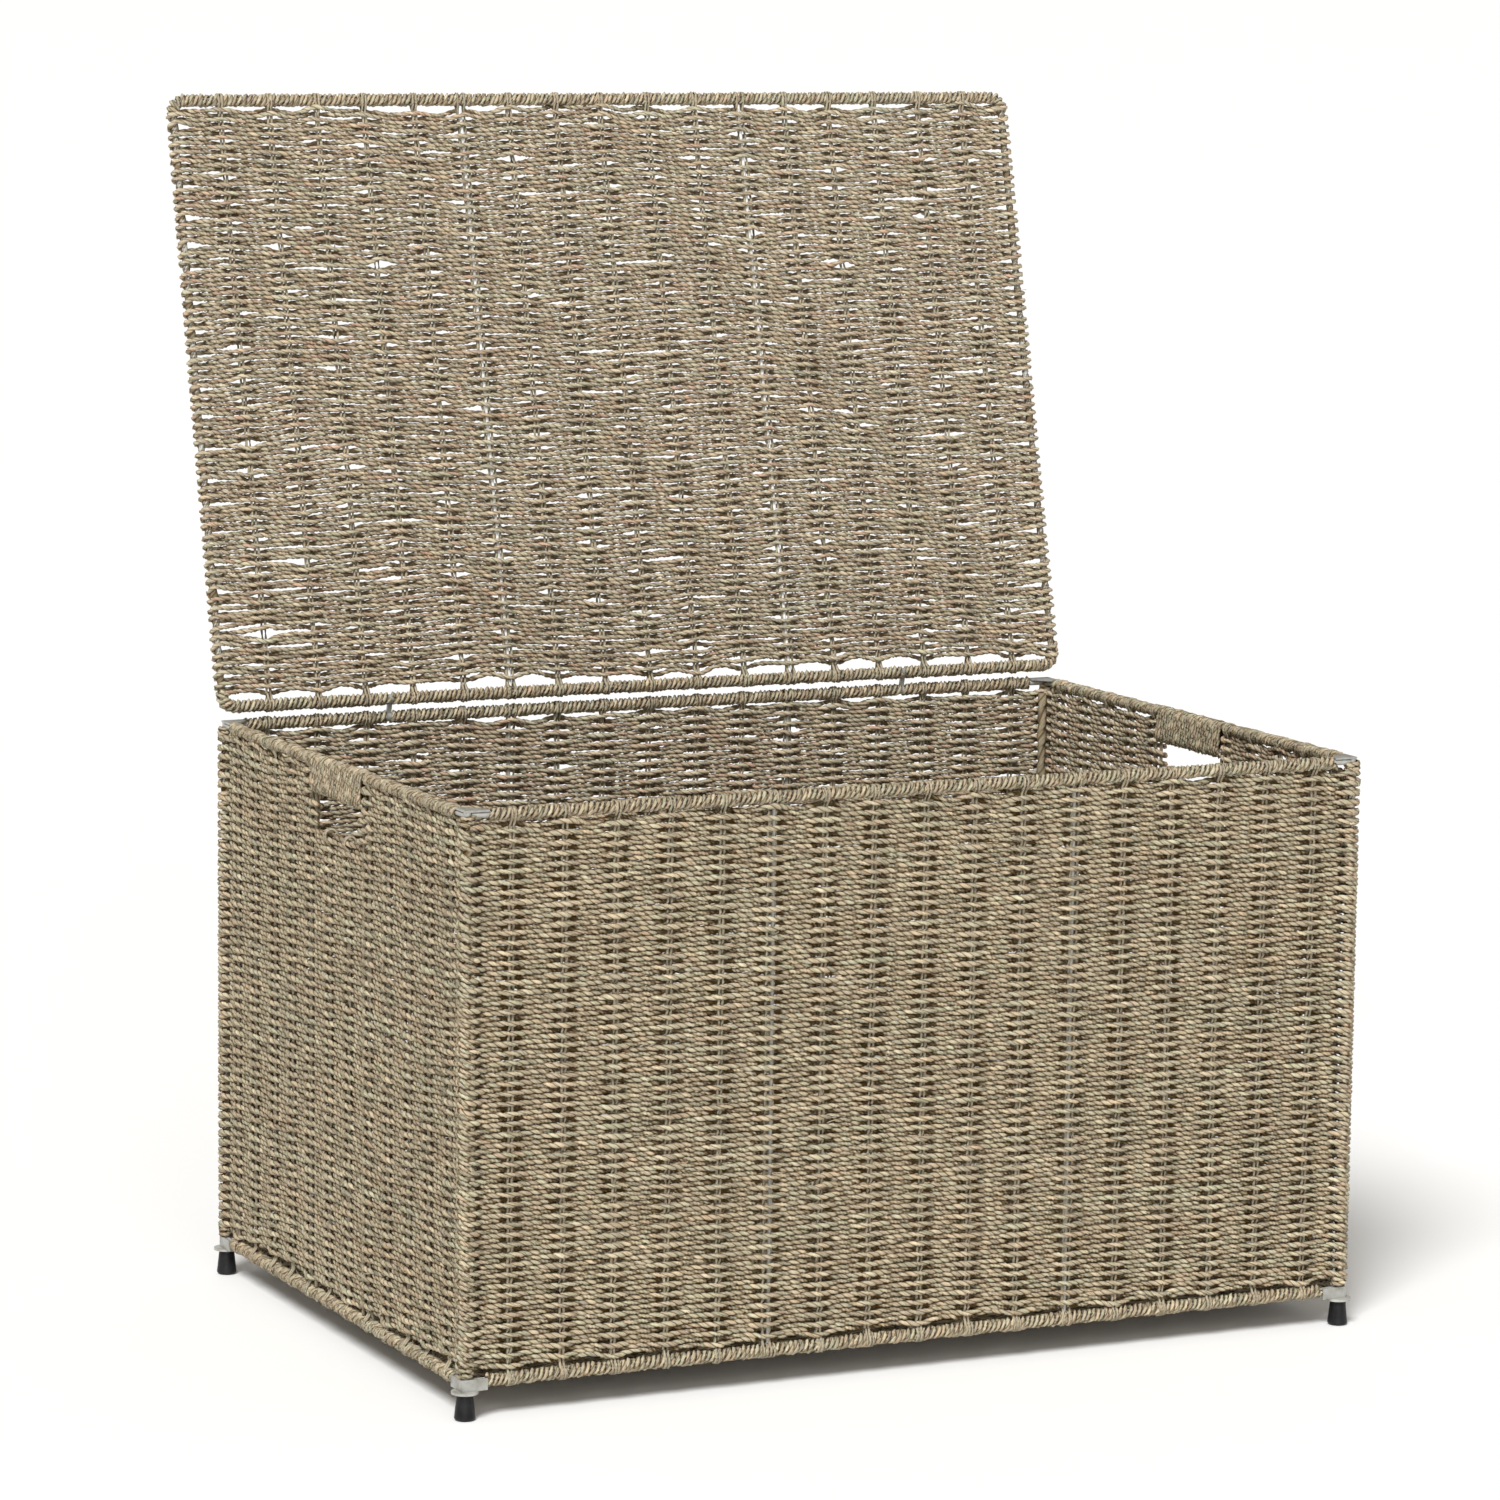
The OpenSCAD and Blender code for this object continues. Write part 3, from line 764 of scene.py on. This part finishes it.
walls["rear"].slits[:, 2] *= REAR_SLIT
WALL_FINISH = {"front": wall_grass, "rear": red_grass, "left": wall_grass, "right": red_grass}
for name, first, backwards in (("front", 1, False), ("rear", 0, True)):
    walls[name].rows, walls[name].first = wall_rows, first
    path = to_and_fro(walls[name], wall_rows, first, backwards=backwards)
    cord = in_weave(swept(walls[name].place(path), UP, CORD), walls[name])
    cord_pieces(f"{name}_weave", cord, 2, WALL_FINISH[name], "trunk", [f"panel_{name}"])

# %% [markdown]
# ## The end walls
# An end wall has a hand hole under its rail. Cutting a hole through a finished weave would leave bare
# cord ends, so the rows beside the hole are woven as separate short sheets, whose cord turns back round
# the wire at the hole's edge.

# %% End walls with hand holes
hole_half = (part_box("wires_left")[1][1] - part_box("wires_left")[0][1]) / 2 - 1.5 * MM
grip_half = (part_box("grip_wrap_left")[1][1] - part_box("grip_wrap_left")[0][1]) / 2
hole_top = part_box("grip_wrap_left")[0][2]
HOLE_HEIGHT = 30 * MM
hole_bottom = hole_top - HOLE_HEIGHT
end_rows = wall_rows + ROW_PITCH / 2
beside_hole = (end_rows >= hole_bottom) & (end_rows < hole_top - 1 * MM)
beside_grip = (end_rows >= hole_top - 1 * MM) & (end_rows < last_row + 2.5 * MM)
for name, first in (("left", 0), ("right", 1)):
    sheet = walls[name]
    sheet.rows, sheet.first = end_rows, first
    under = end_rows[end_rows < hole_bottom]
    paths = [to_and_fro(sheet, under, first)]
    number = first + len(under)
    beside = ((beside_hole, hole_half), (beside_grip, grip_half + 4 * MM))
    for chosen, edge in beside:
        rows = end_rows[chosen]
        paths.append(to_and_fro(sheet, rows, number, (-half_depth, -edge), (POST_TURN, HOLE_TURN)))
        paths.append(to_and_fro(sheet, rows, number, (edge, half_depth), (HOLE_TURN, POST_TURN), True))
        number += len(rows)
    cords = [in_weave(swept(sheet.place(path), UP, CORD), sheet) for path in paths]
    cord_pieces(f"{name}_weave", cords[0], 2, WALL_FINISH[name], "trunk", [f"panel_{name}"])
    finish = WALL_FINISH[name]
    cord_piece(f"{name}_weave_top", cords[1:], finish, "trunk", [f"panel_{name}"])

# %% [markdown]
# ## The base
# The base is the same weave laid flat. It is seen only through the open top or from below, so its cord
# has a plainer section with longer steps, and its uprights are bent only at every third row.

# %% Base
base_half = half_length - RAIL_RADIUS - 2.5 * MM
base_range = (-half_depth + RAIL_RADIUS + 4 * MM, half_depth - RAIL_RADIUS - 3 * MM)
BASE_UNEVEN = (0.8 * MM, 0.25 * MM, 100)
BASE_TURN, BASE_STEP, BASE_LAY = 3 * MM, 8.5 * MM, 40 * MM
base_sheet = Sheet(
    tuple(trunk_base), right_way, back_way, (0, 0, -1),
    base_half, LONG_WARPS, LONG_PITCH, *BASE_UNEVEN, base_range,
)
base_rows = np.arange(*base_range, ROW_PITCH * 1.03)
base_sheet.rows, base_sheet.first = base_rows[::3], 0
base_path = base_sheet.place(to_and_fro(base_sheet, base_rows, turns=(BASE_TURN, BASE_TURN)))
base_cord = in_weave(swept(base_path, back_way, PLAIN_CORD, BASE_STEP, BASE_LAY), base_sheet)
cord_pieces("base_weave", base_cord, 1, wall_grass, "trunk", ["panel_base"])

# %% [markdown]
# ## The lid
# The lid's rows turn round its two side rods. They are bunched there every few centimetres, which opens
# wedge-shaped holes along the lid's edge. The lid is woven more loosely than the walls, so it has many
# more slits at its uprights, some long partings anywhere, and a few wider ones low at the left. All of
# them are the same thing to the weave: a place where the row above moves up and the row below moves down.

# %% Lid
hinge = Vector(frame["record"]["behaviour"]["joints"][0]["pos_m"])
lid_edge = middle("lid_wrap_front")
lid_up = (lid_edge - hinge).normalized()
lid_length = (lid_edge - hinge).length
lid_half = middle("lid_rod_right").x
LID_TURN = 4.8 * MM
lid_range = (RAIL_RADIUS + 7.0 * MM, lid_length - RAIL_RADIUS - 4.0 * MM)
LID_UNEVEN = (1.7 * MM, 0.30 * MM, 1300)
LID_SLIT = 1.35
LID_CORD = CORD * 0.95
WEDGE_PITCH = 25 * MM
lid_out = (0, -lid_up.z, lid_up.y)
lid_sheet = Sheet(
    tuple(hinge), right_way, tuple(lid_up), lid_out,
    lid_half, LONG_WARPS, LONG_PITCH, *LID_UNEVEN, lid_range,
)
wedges = [
    (side * lid_half, v + random.normal(0, 3 * MM),
     random.uniform(1.2, 3.0) * MM, random.uniform(12, 22) * MM)
    for side in (-1, 1)
    for v in np.arange(lid_range[0] + 12 * MM, lid_range[1], WEDGE_PITCH)
]
lid_sheet.slits[:, 2] *= LID_SLIT
partings = [
    (random.uniform(-1, 1) * lid_half, random.uniform(*lid_range),
     random.uniform(0.8, 1.7) * MM, random.uniform(7, 26) * MM)
    for _ in range(45)
]
low_left = [
    (random.uniform(-0.97, -0.75) * lid_half, lid_range[0] + random.uniform(0.03, 0.3) * lid_length,
     random.uniform(1.0, 1.9) * MM, random.uniform(20, 34) * MM)
    for _ in range(12)
]
lid_sheet.slits = np.concatenate([lid_sheet.slits, wedges, partings, low_left])
lid_rows = np.linspace(*lid_range, 1 + round((lid_range[1] - lid_range[0]) / ROW_PITCH))
lid_sheet.rows, lid_sheet.first = lid_rows, 0
lid_path = to_and_fro(lid_sheet, lid_rows, turns=(LID_TURN, LID_TURN))
lid_cord = in_weave(swept(lid_sheet.place(lid_path), tuple(lid_up), LID_CORD), lid_sheet)
print("lid rows:", len(lid_rows), "slits:", len(lid_sheet.slits))
cord_pieces("lid_weave", lid_cord, 3, lid_grass, "lid", ["lid_panel"])

# %% [markdown]
# ## The thin upright cords
# Two thin cords lie side by side at each upright. At both ends they go round the wrapped rail and tie the
# sheet to it, so a narrow open gap stays between the rail and the first row, bridged only by these ties.


# %% Upright cords
TIE_RADIUS = RAIL_RADIUS - 0.9 * MM
TIE_END = RAIL_RADIUS + 3 * MM
TAIL, TAIL_DEPTH = 6 * MM, 0.4 * MM
PAIR_HALF, WIRE_HALF = 1.5 * MM, 3.1 * MM
YIELD = 0.5 * MM
# The thin upright cords lie deep in the weave, so all along them a little painted shade is given.
UPRIGHT_LIT_SHARE = 0.55


def upright(sheet, place, side, rail_a, rail_b):
    """One thin cord of a pair, from a loop round one rail to a loop round the other.

    It gives way to every row that passes it."""
    beside_wire = sheet.wired and abs(place - len(sheet.warps) // 2) == WIRE_PLACE
    u = sheet.warps[place] + side * (WIRE_HALF if beside_wire else PAIR_HALF)
    angle = np.radians(np.arange(-60, 241, 30))
    loop = np.stack([np.zeros(len(angle)), TIE_RADIUS * np.sin(angle), TIE_RADIUS * np.cos(angle)], 1)
    top = loop + [u, rail_b, 0]
    bottom = loop * [1, -1, -1] + [u, rail_a, 0]
    line = [(u, rail_a + TIE_END, 0)]
    for row, v in enumerate(sheet.rows):
        height = v + sheet.wander(u, v)
        if line[0][1] < height < rail_b - TIE_END:
            away = (-1) ** (place + sheet.first + row) * YIELD
            line.append((u + random.normal(0, 0.35 * MM), height, away + random.normal(0, 0.4 * MM)))
    line.append((u, rail_b - TIE_END, 0))
    tail_low = [[u, line[0][1] + TAIL, -TAIL_DEPTH]]
    tail_high = [[u, line[-1][1] - TAIL, -TAIL_DEPTH]]
    local = np.concatenate([tail_low, bottom, line, top, tail_high])
    rings, coordinates, lit_share = swept(sheet.place(local), sheet.u, THIN, None)
    # One fixed place round the cord, so the thin cords get no painted groove shade.
    coordinates[..., 1] = 1
    return rings, coordinates, np.full_like(lit_share, UPRIGHT_LIT_SHARE)


def uprights(sheet, rail_a, rail_b, hole=None):
    """All pairs of thin cords of a sheet. hole is half a hole's width and the height where it starts."""
    made = []
    for place, warp in enumerate(sheet.warps):
        for side in (-1, 1):
            top = hole[1] if hole and abs(warp) < hole[0] else rail_b
            made.append(upright(sheet, place, side, rail_a, top))
    return made


hole = (hole_half, hole_bottom - 2 * MM)
for name, sheet in walls.items():
    pairs = uprights(sheet, rail_low, rail_high, hole if name in ("left", "right") else None)
    cord_piece(f"{name}_uprights", pairs, thin_grass, "trunk")
cord_piece("lid_uprights", uprights(lid_sheet, 0, lid_length), thin_grass, "lid")
pairs = uprights(base_sheet, -half_depth, half_depth)
cord_piece("base_uprights", pairs, thin_grass, "trunk")

# %% [markdown]
# ## Cord wound round the rails
# Two cords are wound side by side, so that the turns lean. The rail's own line is followed by a turning
# point at a fixed distance, and the same kind of section is swept along it. On the lid the winding goes
# round the bent corners.

# %% Winding
STARTS = 2
WIND_PITCH = 8.8 * MM
WIND_LAY = 22 * MM
WIND_RADIUS = 4.2 * MM


def wound(line, facing, pitch=WIND_PITCH, starts=STARTS):
    """Cords wound round a line. facing is a direction that is square to the line all along."""
    line = np.array(line, float)
    along = lengths_along(line)
    at = np.arange(0, along[-1], 1.5 * MM)
    points = resampled(line, along, at)
    tangent = unit(np.gradient(points, axis=0))
    first = unit(np.array(facing) - (tangent @ np.array(facing))[:, None] * tangent)
    second = np.cross(tangent, first)
    uneven = 0.4 * np.sin(at * 61 + random.uniform(0, 6)) + 0.25 * np.sin(at * 173 + random.uniform(0, 6))
    made = []
    for start in range(starts):
        angle = -2 * np.pi * (at / pitch + start / starts) + uneven
        outward = np.cos(angle)[:, None] * first + np.sin(angle)[:, None] * second
        made.append(swept(points + WIND_RADIUS * outward, outward, WOUND, lay=WIND_LAY))
    return made


def along_box(node, axis):
    """The two ends of a straight CAD node's middle line."""
    low, high = (Vector(c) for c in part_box(node))
    a, b = (low + high) / 2, (low + high) / 2
    a[axis], b[axis] = low[axis], high[axis]
    return [tuple(a), tuple(b)]


def wound_piece(node, cords, body="trunk"):
    """The wound cords that take the place of a CAD node."""
    return cord_piece(f"{node}_cord", cords, rail_grass, body, [node])


for node in ("top_wrap_front", "bottom_wrap_front", "bottom_wrap_rear"):
    wound_piece(node, wound(along_box(node, 0), UP))
for node in ("bottom_wrap_left", "bottom_wrap_right"):
    wound_piece(node, wound(along_box(node, 1), UP))

# %% [markdown]
# ## Rails with gaps
# The winding on the rear rail stops at each hinge strap, where the steel is bare, and on the end rails it
# stops where the hand grip starts. Each stretch is wound by itself between those places, and the
# stretches make one piece.

# %% Rails with gaps
strap_half = 1.6 * MM
strap_at = middle("hinge_strap_right").x
rear_low, rear_high = along_box("top_wrap_rear", 0)
stretches = [
    (rear_low[0], -strap_at - strap_half),
    (-strap_at + strap_half, strap_at - strap_half),
    (strap_at + strap_half, rear_high[0]),
]
pieces = []
for start, stop in stretches:
    pieces += wound([(start, *rear_low[1:]), (stop, *rear_low[1:])], UP)
wound_piece("top_wrap_rear", pieces)

for name in ("left", "right"):
    (x, y0, z), (_, y1, _) = along_box(f"top_wrap_{name}", 1)
    pieces = wound([(x, y0, z), (x, mid_y - grip_half, z)], UP)
    pieces += wound([(x, mid_y + grip_half, z), (x, y1, z)], UP)
    wound_piece(f"top_wrap_{name}", pieces)

# %% [markdown]
# ## The lid's rails
# The lid's front and rear rails are bent round the corners, and the winding goes on a little way along
# the sides. The rear one has the same gaps at the straps as the trunk's rear rail.

# %% Lid rails
LID_BEND = 10 * MM
SIDE_REACH = 4 * MM


def lid_line(v, inward, reach):
    """The middle line of a lid rail with its bent ends. inward is 1 or -1 along v."""
    angle = np.radians(np.linspace(0, 90, 10))
    right_u = np.r_[lid_half - LID_BEND + LID_BEND * np.sin(angle), lid_half]
    right_v = np.r_[LID_BEND * (1 - np.cos(angle)), LID_BEND + reach]
    u = np.r_[-right_u[::-1], right_u]
    along_v = v + inward * np.r_[right_v[::-1], right_v]
    return lid_sheet.place(np.stack([u, along_v, np.zeros(len(u))], 1))


wound_piece("lid_wrap_front", wound(lid_line(lid_length, -1, SIDE_REACH), lid_sheet.w), "lid")
rear_line = lid_line(0, 1, SIDE_REACH)
half_line = len(rear_line) // 2
on_hinge = np.array([[x, hinge.y, hinge.z] for pair in stretches for x in pair][1:-1])
pieces = wound(np.concatenate([rear_line[:half_line], on_hinge[:1]]), lid_sheet.w)
pieces += wound(on_hinge[1:3], lid_sheet.w)
pieces += wound(np.concatenate([on_hinge[3:], rear_line[half_line:]]), lid_sheet.w)
wound_piece("lid_wrap_rear", pieces, "lid")

# %% [markdown]
# ## The hand grips
# Over each hand hole the end rail and a second rod under it are wound together, which makes a flat,
# comfortable grip. The turning point now follows an oval: over the upper rod, straight down, under the
# lower rod and straight up.


# %% Hand grips
def wound_oval(x, y_from, y_to, z_top, z_low, pitch=WIND_PITCH, starts=STARTS):
    """Cords wound round two rods together, one above the other."""
    drop = z_top - z_low
    half_turn = np.pi * WIND_RADIUS
    lap = 2 * drop + 2 * half_turn
    made = []
    travel = np.arange(0, (y_to - y_from) / pitch * lap, 1.5 * MM)
    for start in range(starts):
        at = (travel + start * lap / starts) % lap
        over = np.clip(at, 0, half_turn) / WIND_RADIUS
        under = np.clip(at - half_turn - drop, 0, half_turn) / WIND_RADIUS
        turned = over + under
        fallen = np.clip(at - half_turn, 0, drop) - np.clip(at - 2 * half_turn - drop, 0, drop)
        outward = np.stack([np.cos(turned), np.zeros(len(at)), np.sin(turned)], 1)
        centre = np.stack([np.full(len(at), x), y_from + travel / lap * pitch, z_top - fallen], 1)
        made.append(swept(centre + WIND_RADIUS * outward, outward, WOUND, 3.1 * MM, WIND_LAY))
    return made


for name, x in (("left", trunk_left), ("right", trunk_right)):
    y0, y1 = mid_y - grip_half + 2 * MM, mid_y + grip_half - 2 * MM
    wound_piece(f"grip_wrap_{name}", wound_oval(x, y0, y1, rail_high, middle(f"grip_rod_{name}").z))

# %% [markdown]
# ## What covers the posts
# No bare post shows between the loops, because more cord lies under them. A thick twisted strand round
# each post and each of the lid's side rods stands for it, with one more strand inside each corner. Where
# a post comes out of the weave, a few turns of cord are wound on it.

# %% Post covers
COIL_PITCH, COIL_TURNS = 4.2 * MM, 2.2
INNER_STRAND = 8.5 * MM
POST_LAY, LID_LAY = 30 * MM, 24 * MM
# The strands inside the corners and along the lid's sides get a low share of light all along, so they are
# painted darker as shade.
INNER_LIT_SHARE, LID_COVER_LIT_SHARE = 0.5, 0.35
LID_COVER_END = 14 * MM


def coil(foot, rise, turns, radius):
    """A few turns of cord round a rod."""
    angle = np.linspace(0, 2 * np.pi * turns, int(turns * 16))
    outward = np.stack([np.cos(angle), np.sin(angle), np.zeros(len(angle))], 1)
    path = np.array(foot) + radius * outward + np.outer(angle / (2 * np.pi) * rise, UP)
    return swept(path, outward, WOUND)


covers = []
for x in (trunk_left, trunk_right):
    for y in (front_y, rear_y):
        low, high = (x, y, first_row - 6 * MM), (x, y, last_row + 3 * MM)
        covers.append(swept(np.array([low, high]), right_way, SLEEVE, lay=POST_LAY))
        inner = (x - np.sign(x) * INNER_STRAND, y - np.sign(y - mid_y) * INNER_STRAND)
        ends = np.array([(*inner, first_row), (*inner, last_row)])
        rings, coordinates, lit_share = swept(ends, right_way, SLEEVE, 5 * MM, POST_LAY)
        covers.append((rings, coordinates, np.full_like(lit_share, INNER_LIT_SHARE)))
        covers.append(coil((x, y, first_row - 7.5 * MM), COIL_PITCH, COIL_TURNS, POST_TURN))
        covers.append(coil((x, y, last_row), COIL_PITCH, COIL_TURNS, POST_TURN))
cord_piece("post_covers", covers, rail_grass, "trunk")
lid_covers = []
for side in (-1, 1):
    x = side * lid_half
    ends = lid_sheet.place(np.array([(x, LID_COVER_END, 0), (x, lid_length - LID_COVER_END, 0)]))
    rings, coordinates, lit_share = swept(ends, lid_sheet.w, SLEEVE * 0.8, lay=LID_LAY)
    lid_covers.append((rings, coordinates, np.full_like(lit_share, LID_COVER_LIT_SHARE)))
cord_piece("lid_side_covers", lid_covers, rail_grass, "lid")

# %% [markdown]
# ## Loose fibres
# Here and there a blade of grass has worked loose and stands off the weave in a small curl. Each one is a
# short arc of a very thin section, with its own size and direction.


# %% Loose fibres
def loose_fibres(sheet, number, v_range, sides):
    """Short curls that stand off a sheet."""
    made = []
    for _ in range(number):
        u, v = random.uniform(-sheet.half, sheet.half), random.uniform(*v_range)
        side = random.choice(sides)
        length, lean = random.uniform(5, 14) * MM, random.uniform(0, 2 * np.pi)
        t = np.linspace(0, 1, 5)
        curl = np.stack([
            u + length * np.cos(lean) * t, v + length * np.sin(lean) * t * (1.2 - t),
            side * (2.5 + random.uniform(2, 5) * np.sin(np.pi * t * 0.75)) * MM,
        ], 1)
        rings, coordinates, lit_share = swept(sheet.place(curl), sheet.w, FIBRE, 2 * MM, 40 * MM)
        made.append((rings, coordinates, np.ones_like(lit_share)))
    return made


curls = []
for name, number in (("front", 70), ("rear", 60), ("left", 45), ("right", 45)):
    curls += loose_fibres(walls[name], number, (first_row, hole_bottom - 10 * MM), (-1, 1))
cord_piece("loose_fibres", curls, wall_grass, "trunk")
curls = loose_fibres(lid_sheet, 90, lid_range, (-1, 1))
cord_piece("lid_loose_fibres", curls, lid_grass, "lid")

# %% [markdown]
# ## Where the lid rests on the rim
# The closed lid lies on the rims of the front and the two ends, and there the grass of both gives way.
# The lid is flattened along the edges of its underside, and the rims on top. What stands out past a set
# height is drawn in to a share of itself, which keeps the turns of the winding and leaves room for the
# other side.


# %% Flattened sides
LID_BEDDING, RIM_BEDDING = (3.0 * MM, 0.44), (4.5 * MM, 0.62)
BORDER_WIDTH, BORDER_FADE = 20 * MM, 6 * MM


def flatten(name, origin, out, start, share, border):
    """Draw in the points of a piece that stand out from a plane by more than start.

    A share of what stands out further stays. border says how much a point takes part, from 0 to 1."""
    mesh = bpy.data.objects[name].data
    points = np.empty(len(mesh.vertices) * 3, dtype=np.float32)
    mesh.vertices.foreach_get("co", points)
    points = points.reshape(-1, 3).astype(float)
    beyond = np.maximum((points - origin) @ out - start, 0)
    drawn_in = beyond * (1 - share) * border(points)
    points -= drawn_in[:, None] * out
    mesh.vertices.foreach_set("co", points.astype(np.float32).ravel())
    mesh.update()
    print(name, "drawn in by at most (mm):", round(drawn_in.max() / MM, 2))


def lid_border(points):
    """1 along the lid's front and side edges, falling to 0 further in and near the hinge."""
    v = (points - lid_sheet.origin) @ lid_sheet.v
    past = np.maximum(np.abs(points[:, 0]) - lid_half, v - lid_length) + BORDER_WIDTH
    return np.clip(past / BORDER_FADE, 0, 1) * np.clip(v / BORDER_WIDTH - 1, 0, 1)


def everywhere(points):
    """1 for every point."""
    return np.ones(len(points))


lid_names = [f"lid_weave_{number}" for number in (1, 2, 3)]
lid_names += ["lid_uprights", "lid_wrap_front_cord", "lid_side_covers"]
for name in lid_names:
    flatten(name, lid_sheet.origin, lid_sheet.w, *LID_BEDDING, lid_border)
rim = np.array((0, 0, rail_high))
for name in ("front", "left", "right"):
    for piece_name in (f"{name}_uprights", f"top_wrap_{name}_cord"):
        flatten(piece_name, rim, np.array(UP), *RIM_BEDDING, everywhere)
